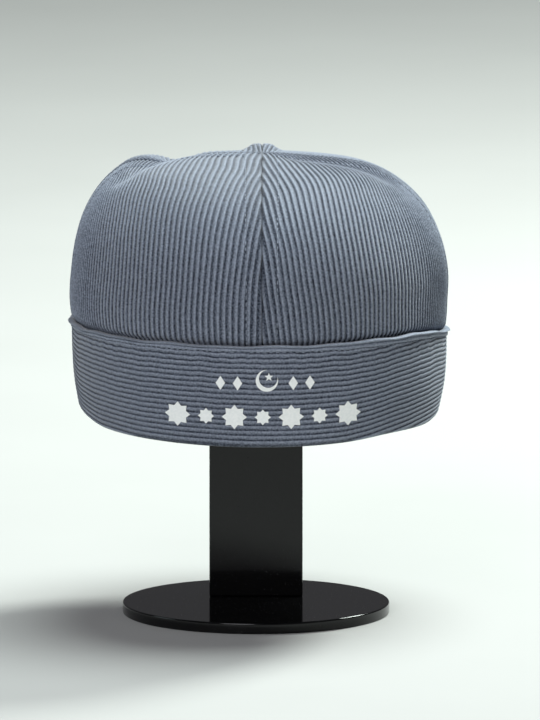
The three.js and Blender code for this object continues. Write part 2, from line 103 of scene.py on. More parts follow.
RIB_REACHES = [  # run, then the left gores' ribs to the front or back seam and to the side
    # seam, counted from the rib that ends in the middle of the crown, and the right gores'
    (0.0, 17.5, 133.0, 25.2, 127.9),
    (23.5, 17.1, 132.2, 21.8, 127.5),
    (34.0, 16.5, 131.0, 20.0, 127.0),
    (43.0, 15.6, 127.8, 18.8, 124.2),
    (52.0, 14.5, 122.5, 17.5, 119.0),
    (62.0, 13.1, 114.6, 15.6, 111.4),
    (75.0, 10.6, 102.4, 12.8, 96.7),
    (90.0, 7.6, 89.4, 9.9, 77.1),
    (106.0, 4.2, 70.8, 6.2, 56.8),
    (118.0, 2.6, 53.4, 3.9, 41.1),
    (134.0, 1.2, 24.8, 1.8, 19.7),
    (148.2, 0.0, 0.0, 0.0, 0.0),
]
TO_END_LEFT, TO_SIDE_LEFT, TO_END_RIGHT, TO_SIDE_RIGHT = range(4)
GORES = [  # name, angle where it starts, and which reaches its ribs have at that seam and the next
    ("crown_front_left", -90, TO_SIDE_LEFT, TO_END_LEFT),
    ("crown_front_right", 0, TO_END_RIGHT, TO_SIDE_RIGHT),
    ("crown_back_right", 90, TO_SIDE_RIGHT, TO_END_RIGHT),
    ("crown_back_left", -180, TO_END_LEFT, TO_SIDE_LEFT),
]
CLOTH = 2.2  # from the rib tops to the inner face
RIB_PITCH = 2.8
SEAM_GAP = 0.03  # from a gore's edge to the plane of its seam
TOPSTITCH_AT = 7.0  # from the seam
SLOPE_STEP = 0.4  # between the places that give the crown's direction
SHORT_OF_MIDDLE = 3  # that direction holds from here up
COLUMNS_PER_RIB = 10
LEVEL_STEP = 1.6  # between the points of a column
SEAM_LINES = [0.3, 0.65, 1.05, 1.6, 2.4, 6.0, 6.6, 7.0, 7.4, 8.0]  # more points, this far from a seam
INNER_SPACING, INNER_STEP = 9.0, 6.0  # the inner face's columns and their points
LEAST_STEP, LEAST_LAST_STEP, LEAST_SEAM_STEP = 0.22, 0.05, 0.4
LEAST_LAST_SPACE = 0.4  # between a gore's last two columns, as a share of the usual space
GORE_ANGLE = 90


def curve_through(knots, values):
    """A smooth curve through values at increasing knots."""
    knots, values = np.array(knots, float), np.array(values, float)
    before = np.maximum(np.arange(len(knots)) - 1, 0)
    after = np.minimum(np.arange(len(knots)) + 1, len(knots) - 1)
    slopes = (values[after] - values[before]) / (knots[after] - knots[before])

    def at(place):
        i = np.clip(np.searchsorted(knots, place, side="right") - 1, 0, len(knots) - 2)
        span = knots[i + 1] - knots[i]
        s = np.clip((place - knots[i]) / span, 0, 1)
        return (
            (2 * s**3 - 3 * s**2 + 1) * values[i]
            + (s**3 - 2 * s**2 + s) * span * slopes[i]
            + (3 * s**2 - 2 * s**3) * values[i + 1]
            + (s**3 - s**2) * span * slopes[i + 1]
        )

    return at


crown_rows = np.array(CROWN_ROWS, float)
mean_reach = crown_rows[:, 1:].mean(axis=1)
crown_runs = np.concatenate(
    [[0], np.cumsum(np.hypot(np.diff(crown_rows[:, 0]), np.diff(mean_reach)))]
)
CROWN_RUN = crown_runs[-1]
crown_height, reach_left, reach_right, reach_front, reach_back = (
    curve_through(crown_runs, crown_rows[:, i]) for i in range(5)
)
edge_height = curve_through(*zip(*EDGE_HEIGHTS))


def smooth_step(value, low, high):
    """0 below low and 1 above high, smoothly."""
    s = np.clip((value - low) / (high - low), 0, 1)
    return s * s * (3 - 2 * s)


def bell(value, middle, width):
    """1 at middle, falling away within a width to each side."""
    return np.exp(-(((value - middle) / width) ** 2))


def wrapped(angle):
    """The same direction as an angle from -180 to 180."""
    return (np.asarray(angle, float) + 180) % 360 - 180


def ring_point(angle, side, end):
    """A point of an oval ring, whose angle runs evenly along the ring's length."""
    turn = np.radians(angle)
    phi = turn + (end - side) / (2 * (end + side) + 1e-6) * np.sin(2 * turn)
    return side * np.sin(phi), -end * np.cos(phi)


def dent_depth(x, y):
    """How far the dents sink a place of the top. Each runs from one point to another."""
    depth = np.zeros_like(x)
    for from_x, from_y, to_x, to_y, deepest, width in DENTS:
        along_x, along_y = to_x - from_x, to_y - from_y
        share = ((x - from_x) * along_x + (y - from_y) * along_y) / (along_x**2 + along_y**2)
        near = np.clip(share, 0, 1)
        away = np.hypot(x - from_x - near * along_x, y - from_y - near * along_y)
        depth += deepest * bell(away, 0, width)
    return depth


def seam_puff(x, y):
    """How far the bulky seams' crossing lifts a place of the top."""
    beyond = np.maximum(np.maximum(SEAM_PUFF["from_y"] - y, y - SEAM_PUFF["to_y"]), 0)
    along = bell(beyond, 0, SEAM_PUFF["run"])
    return SEAM_PUFF["height"] * along * np.exp(-((x / SEAM_PUFF["width"]) ** 4))


def crown_point(angle, run):
    """A point of the crown's rib tops, by angle from the front seam and run up the cloth."""
    around = wrapped(angle)
    side = np.where(around < 0, reach_left(run), reach_right(run))
    end = np.where(np.abs(around) < 90, reach_front(run), reach_back(run))
    x, y = ring_point(around, np.maximum(side, 0), np.maximum(end, 0))
    drawn = crown_height(run)
    follow = 1 - smooth_step(drawn, *EDGE_FOLLOWED)
    lifted = drawn + follow * (edge_height(around) - EDGE_AT_FRONT)
    z = lifted + smooth_step(drawn, *TOP_SHOWS) * (seam_puff(x, y) - dent_depth(x, y))
    return np.stack([SEAM_X + x, y, z], axis=-1)


def crown_outward(angle, run):
    """The direction out of the crown, taken a little short of its middle, where the rings close."""
    steady = np.minimum(run, CROWN_RUN - SHORT_OF_MIDDLE)
    across = crown_point(angle + SLOPE_STEP, steady) - crown_point(angle - SLOPE_STEP, steady)
    up = crown_point(angle, steady + SLOPE_STEP)
    up = up - crown_point(angle, np.maximum(steady - SLOPE_STEP, 0))
    normal = np.cross(across, up)
    return normal / np.linalg.norm(normal, axis=-1, keepdims=True)


def half_gore(run):
    """Half the width of a gore, which spans a quarter of an oval with the mean reaches."""
    side = (reach_left(run) + reach_right(run)) / 2
    end = (reach_front(run) + reach_back(run)) / 2
    return math.pi / 4 * np.sqrt((side**2 + end**2) / 2)


run_table = np.linspace(0, CROWN_RUN, 4001)
rib_reaches = np.array(RIB_REACHES, float)
reach_runs = rib_reaches[:, 0] * CROWN_RUN / rib_reaches[-1, 0]
rib_reach = [curve_through(reach_runs, rib_reaches[:, i]) for i in (1, 2, 3, 4)]


def gore_angle(gore, across, run):
    """The angle round the crown of a place across the ribs of a gore."""
    _, first_angle, first, second = gore
    before, after = rib_reach[first](run), rib_reach[second](run)
    return first_angle + GORE_ANGLE * (across + before) / np.maximum(before + after, 1e-6)


def seam_edge(gore, side, run):
    """The ribs' reach to the seam before (-1) or after (1) them, less the gap at the seam."""
    before, after = rib_reach[gore[2]](run), rib_reach[gore[3]](run)
    kept = SEAM_GAP * (before + after) / (2 * np.maximum(half_gore(run), 0.05))
    return np.maximum((before if side < 0 else after) - kept, 1e-7 * (CROWN_RUN - run))


def zipped(first, second):
    """Triangles between two lines of (place along, index), the first one on the left."""
    i = j = 0
    triangles = []
    while i < len(first) - 1 or j < len(second) - 1:
        if j == len(second) - 1 or (i < len(first) - 1 and first[i + 1][0] <= second[j + 1][0]):
            triangles.append((first[i][1], second[j][1], first[i + 1][1]))
            i += 1
        else:
            triangles.append((first[i][1], second[j][1], second[j + 1][1]))
            j += 1
    return triangles


def gore_face(gore, spacing, level_step, seam_lines, start):
    """Columns of one face of a gore. They run along the cords and end where they meet a seam."""
    edges = {side: seam_edge(gore, side, run_table) for side in (-1, 1)}
    offsets = [0.0]
    for side in (-1, 1):
        widest = edges[side][0] - 1e-4
        last = widest - LEAST_LAST_SPACE * spacing
        half = side * np.array([*np.arange(spacing, last, spacing), widest])
        offsets = [*half[::-1], *offsets] if side < 0 else [*offsets, *half]
    levels = np.arange(0, CROWN_RUN, level_step)
    places, columns = [], []

    def run_when(side, reach):
        return float(np.interp(-reach, -edges[side], run_table))

    def add(offset, run):
        places.append((offset, run))
        return (run, start + len(places) - 1)

    for offset in offsets:
        side = -1 if offset < 0 else 1
        end = run_when(side, abs(offset))
        near_seam = [run_when(side, abs(offset) + line) for line in seam_lines]
        runs = [0.0]
        for run in sorted([*levels, *near_seam]):
            if runs[-1] + LEAST_STEP < run < end - LEAST_STEP:
                runs.append(run)
        if end > runs[-1] + LEAST_LAST_STEP:
            runs.append(end)
        columns.append([add(offset, run) for run in runs])
    triangles = []
    seams = {-1: [], 1: []}
    for k in range(len(columns) - 1):
        side = -1 if offsets[k] < 0 else 1
        near, far = (columns[k], columns[k + 1]) if side < 0 else (columns[k + 1], columns[k])
        between = [
            add(side * float(np.interp(run, run_table, edges[side])), run)
            for run in levels
            if near[-1][0] + LEAST_SEAM_STEP < run < far[-1][0] - LEAST_SEAM_STEP
        ]
        if side < 0:
            triangles += zipped(near + between, far)
            seams[side] += [near[-1], *between]
        else:
            triangles += zipped(far, near + between)
            seams[side] += [far[-1], *between[::-1]]
    seams[-1].append(columns[offsets.index(0.0)][-1])
    seams[1].append(columns[-1][-1])
    seams[1] = seams[1][::-1]
    lower = [(offset, column[0][1]) for offset, column in zip(offsets, columns)]
    return np.array(places), triangles, seams, lower


def gore_mesh(name, gore):
    """A gore as a closed sheet, its outer face still smooth, with what the cord tree reads."""
    outer, outer_faces, outer_seams, outer_lower = gore_face(
        gore, RIB_PITCH / COLUMNS_PER_RIB, LEVEL_STEP, SEAM_LINES, 0
    )
    inner, inner_faces, inner_seams, inner_lower = gore_face(
        gore, INNER_SPACING, INNER_STEP, [], len(outer)
    )
    faces = outer_faces + [(a, c, b) for a, b, c in inner_faces]
    faces += zipped(outer_lower, inner_lower)
    faces += zipped(outer_seams[1], inner_seams[1])
    faces += zipped(inner_seams[-1], outer_seams[-1])
    across, run = np.concatenate([outer, inner]).T
    angle = gore_angle(gore, across, run)
    outward = crown_outward(angle, run)
    is_outer = np.arange(len(across)) < len(outer)
    points = crown_point(angle, run) - outward * np.where(is_outer, 0, CLOTH)[:, None]
    mesh = bpy.data.meshes.new(name)
    mesh.from_pydata((points * MM).tolist(), [], [f for f in faces if len(set(f)) == 3])
    mesh.polygons.foreach_set("use_smooth", [True] * len(mesh.polygons))
    from_first, from_second = seam_edge(gore, -1, run) + across, seam_edge(gore, 1, run) - across
    to_end_seam = 1 if gore[3] in (TO_END_LEFT, TO_END_RIGHT) else -1
    keep_values(mesh, "across", to_end_seam * across * MM)
    keep_values(mesh, "from_seam", np.maximum(np.minimum(from_first, from_second), 0) * MM)
    keep_values(mesh, "ribbed", is_outer.astype(float))
    keep_directions(mesh, "outward", outward)
    return mesh


def keep_values(mesh, name, values):
    mesh.attributes.new(name, "FLOAT", "POINT").data.foreach_set("value", np.asarray(values, np.float32))


def keep_directions(mesh, name, directions):
    attribute = mesh.attributes.new(name, "FLOAT_VECTOR", "POINT")
    attribute.data.foreach_set("vector", np.asarray(directions, np.float32).ravel())


class Socket:
    """An output socket of a node tree. Arithmetic adds Math nodes, and node() any other node."""

    def __init__(self, tree, socket=None):
        self.tree, self.socket = tree, socket

    def node(self, kind, settings=None, sockets=None, output=0):
        made = self.tree.nodes.new(kind)
        for name, value in (settings or {}).items():
            setattr(made, name, value)
        for name, value in (sockets or {}).items():
            if isinstance(value, Socket):
                self.tree.links.new(value.socket, made.inputs[name])
            else:
                made.inputs[name].default_value = value
        return Socket(self.tree, made.outputs[output] if len(made.outputs) else None)

    def maths(self, operation, *values):
        return self.node("ShaderNodeMath", {"operation": operation}, dict(enumerate(values)))

    def __add__(self, other):
        return self.maths("ADD", self, other)

    __radd__ = __add__

    def __sub__(self, other):
        return self.maths("SUBTRACT", self, other)

    def __rsub__(self, other):
        return self.maths("SUBTRACT", other, self)

    def __mul__(self, other):
        return self.maths("MULTIPLY", self, other)

    __rmul__ = __mul__

    def __truediv__(self, other):
        return self.maths("DIVIDE", self, other)

    def __pow__(self, other):
        return self.maths("POWER", self, other)

    def __abs__(self):
        return self.maths("ABSOLUTE", self)

    def step(self, low, high):
        """0 below low and 1 above high, smoothly; falling where low is the greater."""
        settings = {"interpolation_type": "SMOOTHSTEP"}
        if low < high:
            return self.node("ShaderNodeMapRange", settings, {0: self, 1: low, 2: high})
        return 1 - self.node("ShaderNodeMapRange", settings, {0: self, 1: high, 2: low})

    def bell(self, middle, width):
        """1 at middle, falling away within a width to each side."""
        return self.maths("EXPONENT", -1 * ((self - middle) / width) ** 2)

    def mixed(self, first, second, blend="MIX"):
        """Two colours mixed by this value."""
        settings = {"data_type": "RGBA", "blend_type": blend}
        return self.node("ShaderNodeMix", settings, {0: self, 6: first, 7: second}, 2)

    def scaled(self, factor):
        """A vector times a value."""
        sockets = {0: self, "Scale": factor}
        return self.node("ShaderNodeVectorMath", {"operation": "SCALE"}, sockets)


def new_tree(name, sizes):
    """A geometry tree with named inputs, and its sockets by name."""
    tree = bpy.data.node_groups.new(name, "GeometryNodeTree")
    tree.interface.new_socket("Geometry", in_out="INPUT", socket_type="NodeSocketGeometry")
    for size, kind in sizes.items():
        tree.interface.new_socket(size, in_out="INPUT", socket_type=kind)
    tree.interface.new_socket("Geometry", in_out="OUTPUT", socket_type="NodeSocketGeometry")
    inputs = tree.nodes.new("NodeGroupInput").outputs
    return Socket(tree), {socket.name: Socket(tree, socket) for socket in inputs if socket.name}


def attribute(tree, name, kind="FLOAT"):
    return tree.node("GeometryNodeInputNamedAttribute", {"data_type": kind}, {"Name": name})


def grown(piece, tree, sizes):
    """The piece with a geometry tree run on it, as a plain mesh with no modifier left."""
    modifier = piece.modifiers.new(tree.tree.name, "NODES")
    modifier.node_group = tree.tree
    for item in tree.tree.interface.items_tree:
        if item.in_out == "INPUT" and item.name in sizes:
            modifier[item.identifier] = sizes[item.name]
    graph = bpy.context.evaluated_depsgraph_get()
    mesh = bpy.data.meshes.new_from_object(
        piece.evaluated_get(graph), preserve_all_data_layers=True, depsgraph=graph
    )
    piece.modifiers.remove(modifier)
    piece.data = mesh
    return piece


def placed(name, mesh):
    """A new object in the scene, at the origin."""
    piece = bpy.data.objects.new(name, mesh)
    bpy.context.scene.collection.objects.link(piece)
    return piece


def new_material(name):
    """An empty material, and a socket in its tree to build from."""
    material = bpy.data.materials.new(name)
    material.use_nodes = True
    material.node_tree.nodes.clear()
    return material, Socket(material.node_tree)


def surfaced(material, start, sockets):
    """The material with one principled surface."""
    shader = start.node("ShaderNodeBsdfPrincipled", sockets=sockets)
    start.node("ShaderNodeOutputMaterial", sockets={"Surface": shader})
    return material


# The ground between the cords is darker partly in the knit's own colour and partly by painted shade of
# the grooves.
GROUND_AND_SHADE_COLOURS = (0.014, 0.018, 0.030, 1), (0.087, 0.103, 0.140, 1)
CORD_COLOURS = (0.174, 0.198, 0.251, 1), (0.272, 0.302, 0.372, 1)
# Painted shade for the creases along the seams.
CREASE_SHADE_COLOUR = (0.010, 0.013, 0.021, 1)
BLACK = (0, 0, 0, 1)


def corded_knit():
    """Soft knit with thick pale cords and a speckled ground between them, darker partly in its own
    colour and partly by painted shade of the grooves.
    """
    material, start = new_material("corded_knit")
    place = start.node("ShaderNodeTexCoord", output="Object")
    cord = start.node("ShaderNodeAttribute", {"attribute_name": "cord"}, output="Fac")
    crease_and_painted_shade = start.node("ShaderNodeAttribute", {"attribute_name": "crease_and_painted_shade"}, output="Fac")
    speckle = start.node("ShaderNodeTexNoise", sockets={"Vector": place, "Scale": 1250.0, "Detail": 2.0})
    fibre = start.node("ShaderNodeTexNoise", sockets={"Vector": place, "Scale": 3200.0, "Detail": 1.0})
    cloud = start.node("ShaderNodeTexNoise", sockets={"Vector": place, "Scale": 22.0, "Detail": 3.0})
    ground_and_shade = speckle.step(0.38, 0.64).mixed(*GROUND_AND_SHADE_COLOURS)
    pale = speckle.step(0.32, 0.68).mixed(*CORD_COLOURS)
    # The cords' pale colour carries their painted light: darker on each cord's far side, lighter on its
    # near, lit side.
    colour = cord.step(0.0, 1.15).mixed(ground_and_shade, pale)
    colour = (0.86 + 0.28 * cloud).mixed(BLACK, colour)
    # Painted shade darkens the cloth in the seams' creases.
    colour = (0.6 * crease_and_painted_shade).mixed(colour, CREASE_SHADE_COLOUR)
    relief = 0.65 * speckle + 0.35 * fibre
    bump = start.node(
        "ShaderNodeBump", sockets={"Height": relief, "Strength": 0.6, "Distance": 0.0004}
    )
    return surfaced(material, start, {
        "Base Color": colour,
        "Roughness": 0.98 - 0.16 * speckle,
        "Sheen Weight": 0.25,
        "Sheen Roughness": 0.45,
        "Specular IOR Level": 0.25,
        "Normal": bump,
    })


# Lengths in the tree are in metres, and places across a cord are shares of the pitch.
CORD_SWAY, CORD_WOBBLE = 0.5, 0.07  # how far the slack and the yarn shift a cord sideways
NEAR_EDGE, FAR_EDGE = 0.08, 0.13  # softness of a cord's edge on either side
# The same ramp also paints each cord lighter towards its near, lit side: painted light as well as shape.
CORD_SLOPE = (-0.34, 0.30)  # where a cord's top begins to rise and is full
GROUND_OVER_ALLOWANCE = 0.05
ALLOWANCE_EDGE, STITCH_WIDTH, STITCH_DIP = 0.0006, 0.0005, 0.6

lengths = (
    "Pitch", "Relief", "Ground Share", "Evenness", "Slack", "Crease Depth", "Crease Width",
    "Allowance", "Allowance Rise",
)
cords, size = new_tree(
    "cords", {**dict.fromkeys(lengths, "NodeSocketFloat"), "Cloth": "NodeSocketMaterial"}
)
place = cords.node("GeometryNodeInputPosition")
wander = cords.node("ShaderNodeTexNoise", sockets={"Vector": place, "Scale": 130.0, "Detail": 2.0})
nub = cords.node("ShaderNodeTexNoise", sockets={"Vector": place, "Scale": 620.0, "Detail": 1.0})
billow = cords.node("ShaderNodeTexNoise", sockets={"Vector": place, "Scale": 26.0, "Detail": 1.0})
from_seam = attribute(cords, "from_seam")
inside = ((size["Allowance"] - from_seam) / ALLOWANCE_EDGE).step(-1.0, 1.0)
turns = attribute(cords, "across") / size["Pitch"]
turns = turns + CORD_SWAY * (billow - 0.5)
off_cord = turns - turns.maths("ROUND", turns) + CORD_WOBBLE * (wander - 0.5)
half_ground = 0.5 * size["Ground Share"] + GROUND_OVER_ALLOWANCE * inside
near_side = ((0.5 - half_ground - off_cord) / NEAR_EDGE).step(-1.0, 1.0)
far_side = ((0.5 - half_ground + off_cord) / FAR_EDGE).step(-1.0, 1.0)
# Each cord's top rises from its far side to its near side. The stored value paints it from darker to
# lighter the same way, as painted light; Evenness sets the far side's share.
slope_and_painted_light = size["Evenness"] + (1 - size["Evenness"]) * off_cord.step(*CORD_SLOPE)
cord = near_side * far_side * slope_and_painted_light
# The crease sinks the cloth beside each seam, and the same value, stored, paints shade into that crease.
crease_and_painted_shade = from_seam.maths("EXPONENT", -1 * (from_seam / size["Crease Width"]) ** 2)
stitched = ((from_seam - size["Allowance"]) / STITCH_WIDTH).bell(0.0, 1.0)
lift = (
    (cord - 1) * size["Relief"] * (0.85 + 0.3 * wander)
    + size["Slack"] * (billow - 0.5)
    - crease_and_painted_shade * size["Crease Depth"] * (0.6 + 0.8 * nub)
    + inside * size["Allowance Rise"]
    - stitched * STITCH_DIP * size["Allowance Rise"]
)
ribbed = attribute(cords, "ribbed")
shift = attribute(cords, "outward", "FLOAT_VECTOR").scaled(lift * ribbed)
moved = cords.node("GeometryNodeSetPosition", sockets={"Geometry": size["Geometry"], "Offset": shift})
for name, value in {"cord": cord, "crease_and_painted_shade": crease_and_painted_shade * ribbed}.items():
    moved = cords.node(
        "GeometryNodeStoreNamedAttribute",
        {"data_type": "FLOAT", "domain": "POINT"},
        {"Geometry": moved, "Name": name, "Value": value},
    )
moved = cords.node("GeometryNodeRealizeInstances", sockets={0: moved})
moved = cords.node("GeometryNodeSetMaterial", sockets={"Geometry": moved, "Material": size["Cloth"]})
cords.node("NodeGroupOutput", sockets={0: moved})

knit = corded_knit()
for gore in GORES:
    name = gore[0]
    piece = placed(name + "_cloth", gore_mesh(name + "_cloth", gore))
    grown(piece, cords, {
        "Pitch": RIB_PITCH * MM, "Relief": 0.0008, "Ground Share": 0.31, "Evenness": 0.42,
        "Slack": 0.0009, "Crease Depth": 0.0007, "Crease Width": 0.0006, "Allowance": TOPSTITCH_AT * MM,
        "Allowance Rise": 0.00035, "Cloth": knit,
    })
    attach(piece, "root")
    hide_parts(name)


# The topstitching of the crown.
# A row of lockstitches on each side of the four seams, in thread of the cloth's colour. It holds
# the seam allowances flat behind the cloth.
ROW_ENDS_AT, ROW_STEP = 9.0, 1.0  # a row's distance from a seam's two ends, and between points
ROW_SUNK = 0.12

stitches, size = new_tree("stitches", {
    "Spacing": "NodeSocketFloat", "Length": "NodeSocketFloat", "Thread": "NodeSocketFloat",
    "Finish": "NodeSocketMaterial",
})
line = stitches.node("GeometryNodeMeshToCurve", sockets={"Mesh": size["Geometry"]})
line = stitches.node(
    "GeometryNodeResampleCurve", {"mode": "LENGTH"}, {"Curve": line, "Length": size["Spacing"]}
)
along = stitches.node("GeometryNodeInputTangent")
turned = stitches.node("FunctionNodeAlignRotationToVector", {"axis": "X"}, {"Vector": along})
turned = stitches.node(
    "FunctionNodeAlignRotationToVector",
    {"axis": "Z", "pivot_axis": "X"},
    {"Rotation": turned, "Vector": attribute(stitches, "outward", "FLOAT_VECTOR")},
)
uneven = stitches.node(
    "FunctionNodeRandomValue", {"data_type": "FLOAT"}, {"Min": 0.8, "Max": 1.1, "Seed": 7}, output=1
)
stretch = stitches.node(
    "ShaderNodeCombineXYZ",
    sockets={"X": 0.5 * size["Length"] * uneven, "Y": 0.5 * size["Thread"], "Z": 0.5 * size["Thread"]},
)
bead = stitches.node("GeometryNodeMeshUVSphere", sockets={"Segments": 6, "Rings": 5, "Radius": 1.0})
rows = stitches.node(
    "GeometryNodeInstanceOnPoints",
    sockets={"Points": line, "Instance": bead, "Rotation": turned, "Scale": stretch},
)
rows = stitches.node("GeometryNodeRealizeInstances", sockets={0: rows})
rows = stitches.node("GeometryNodeSetShadeSmooth", sockets={0: rows})
rows = stitches.node("GeometryNodeSetMaterial", sockets={"Geometry": rows, "Material": size["Finish"]})
stitches.node("NodeGroupOutput", sockets={0: rows})


def stitch_lines(name, lines):
    """A mesh of open lines, each given as points and outward directions."""
    points = np.concatenate([points for points, _ in lines])
    edges, start = [], 0
    for line_points, _ in lines:
        edges += [(start + i, start + i + 1) for i in range(len(line_points) - 1)]
        start += len(line_points)
    mesh = bpy.data.meshes.new(name)
    mesh.from_pydata((points * MM).tolist(), edges, [])
    keep_directions(mesh, "outward", np.concatenate([outward for _, outward in lines]))
    return mesh


def sewing_thread():
    """Matt spun thread, a little paler than the cloth."""
    material, start = new_material("sewing_thread")
    place = start.node("ShaderNodeTexCoord", output="Object")
    ply = start.node("ShaderNodeTexNoise", sockets={"Vector": place, "Scale": 2600.0, "Detail": 2.0})
    colour = ply.step(0.3, 0.7).mixed((0.15, 0.17, 0.22, 1), (0.36, 0.4, 0.48, 1))
    bump = start.node("ShaderNodeBump", sockets={"Height": ply, "Strength": 0.5, "Distance": 0.0001})
    return surfaced(
        material, start, {"Base Color": colour, "Roughness": 0.75 + 0.2 * ply, "Normal": bump}
    )


seam_rows = []
for gore in GORES:
    for side in (-1, 1):
        run = np.arange(ROW_ENDS_AT, CROWN_RUN - ROW_ENDS_AT, ROW_STEP)
        across = side * (seam_edge(gore, side, run) - TOPSTITCH_AT)
        angle = gore_angle(gore, across, run)
        outward = crown_outward(angle, run)
        seam_rows.append((crown_point(angle, run) - ROW_SUNK * outward, outward))
thread = sewing_thread()
topstitching = placed("crown_topstitching", stitch_lines("crown_topstitching", seam_rows))
grown(topstitching, stitches, {
    "Spacing": 0.0031, "Length": 0.0024, "Thread": 0.00042, "Finish": thread,
})
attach(topstitching, "root")


# The band.
# One strip of the same knit turned up as a cuff, so that its cords run round the head. Its upper
# edge is rolled over and stitched down, which puckers it a little.
BAND_BOTTOM = 91.0
BAND_ROWS = [  # share of the height, then reach to the left, the right and the ends
    (0.0, 81.2, 78.8, 100.0),
    (0.15, 82.6, 80.2, 101.2),
    (0.4, 84.4, 82.0, 102.7),
    (0.7, 85.3, 82.9, 103.8),
    (1.0, 85.5, 83.1, 104.2),
]
FOLD_RISE = [  # angle, how far the lower fold lies above the band's lowest height
    (-180, 0.5), (-130, 1.5), (-95, 3.4), (-80, 3.1), (-70, 1.8), (-58, 0.6), (-30, 0.2), (0, 0.0),
    (25, 0.3), (42, 1.3), (55, 0.8), (68, 0.0), (90, 0.0), (130, 0.2), (180, 0.5),
]
BAND_RIBS = 18
DRIFT = [  # angle, how many ribs the strip runs up there, because it was cut a little askew
    (-180, 0.0), (-120, 0.9), (-80, 0.7), (-20, 0.0), (22, 0.0), (32, 0.35), (45, 1.2), (58, 2.1),
    (72, 2.7), (100, 2.6), (180, 0.0),
]
BAND_COLUMNS = 520
POINTS_PER_RIB = 8
RIBS_BEGIN_AT = 1.2  # above the lower fold
FOLD_UP, FOLD_OUT, FOLD_RIBBED = (0, 0.25), (-1.6, -0.95), (0, 0.5)  # points of the lower fold
INNER_TURN = {"below": 0.1, "out": -1.9, "flat_below": 2}  # how the upper edge turns inward
# This place lies on the lit side of a cord, so the hem and the inner face take the cord's colour with
# its painted light.
PLAIN_ACROSS = 0.24  # the place across a cord whose shade the hem and the inner face have
HEM_HEIGHT = 2.6
HEM_PROUD = 1.2
HEM_BASE = 0.35
HEM_SWELL = {"angle": 42, "width": 30, "height": 0.9}
HEM_POINTS = [  # heights up the hem, as shares of its own height
    0.0, 0.06, 0.14, 0.22, 0.3, 0.38, 0.46, 0.54, 0.62, 0.7, 0.78, 0.85, 0.91, 0.96, 1.0,
]
HEM_RIM = {"at": 0.86, "width": 0.12}
HEM_GROOVE = {"at": 0.6, "width": 0.08, "depth": 0.75}
HEM_FOOT = {"width": 0.07, "depth": 1.5}
HEM_TURNS_IN = {"from": 0.93, "depth": 0.7}
HEM_TUCK = {"height": 0.12, "depth": 0.16}
GROOVE_HEIGHT = 0.2  # between the ribs and the hem
PUCKERS = [  # height, waves round the band, their start, how far it sways, that sway's waves, start
    (0.45, 29, 1.3, 0, 0, 0),
    (0.35, 61, 0, 3, 7, 0),
    (0.3, 103, 0, 2, 11, 1),
]
PUCKER_SHARE = 0.10  # of the hem's height
PUCKER_SLIP = 2.7  # degrees that the ribs below the hem lag behind its own waves
RIBS_LIFT = {"height": 0.26, "below": 3.0, "width": 2.2}
RIBS_SWELL = {"out": 0.3, "below": 2.4, "width": 2.0}
EDGE_WAVE = 0.22
EDGE_WAVES = [(13, 1), (23, 0)]  # waves round the band, start
STITCHES_BELOW_HEM, STITCHES_OUT = 0.1, -0.35

band_rows = np.array(BAND_ROWS, float)
band_left, band_right, band_end = (
    curve_through(band_rows[:, 0], band_rows[:, i]) for i in (1, 2, 3)
)


def band_point(angle, height, out):
    """A point of the band, out from its rib tops, and the outward direction there."""
    around = wrapped(angle)
    share = np.clip((height - BAND_BOTTOM) / (edge_height(around) - BAND_BOTTOM), 0, 1)
    side = np.where(around < 0, band_left(share), band_right(share))
    end = band_end(share)
    x, y = ring_point(around, side + out, end + out)
    outward = np.stack([x / side**2, y / end**2, np.zeros_like(x)], axis=-1)
    outward /= np.linalg.norm(outward, axis=-1, keepdims=True)
    return np.stack([SEAM_X + x, y, height], axis=-1), outward


rib_drift = curve_through(*zip(*DRIFT))
fold_rise = curve_through(*zip(*FOLD_RISE))


def pucker(angle, slip=0.0):
    """Small uneven waves along the stitched edge."""
    turn = np.radians(angle + slip)
    return sum(
        height * np.sin(times * turn + start + sway * np.sin(slow * turn + late))
        for height, times, start, sway, slow, late in PUCKERS
    )


def hem_height(angle):
    """Height of the stitched hem, a little more on the right of the front."""
    waves = 1 + PUCKER_SHARE * pucker(angle)
    swell = bell(angle, HEM_SWELL["angle"], HEM_SWELL["width"])
    return HEM_HEIGHT * waves + HEM_SWELL["height"] * swell


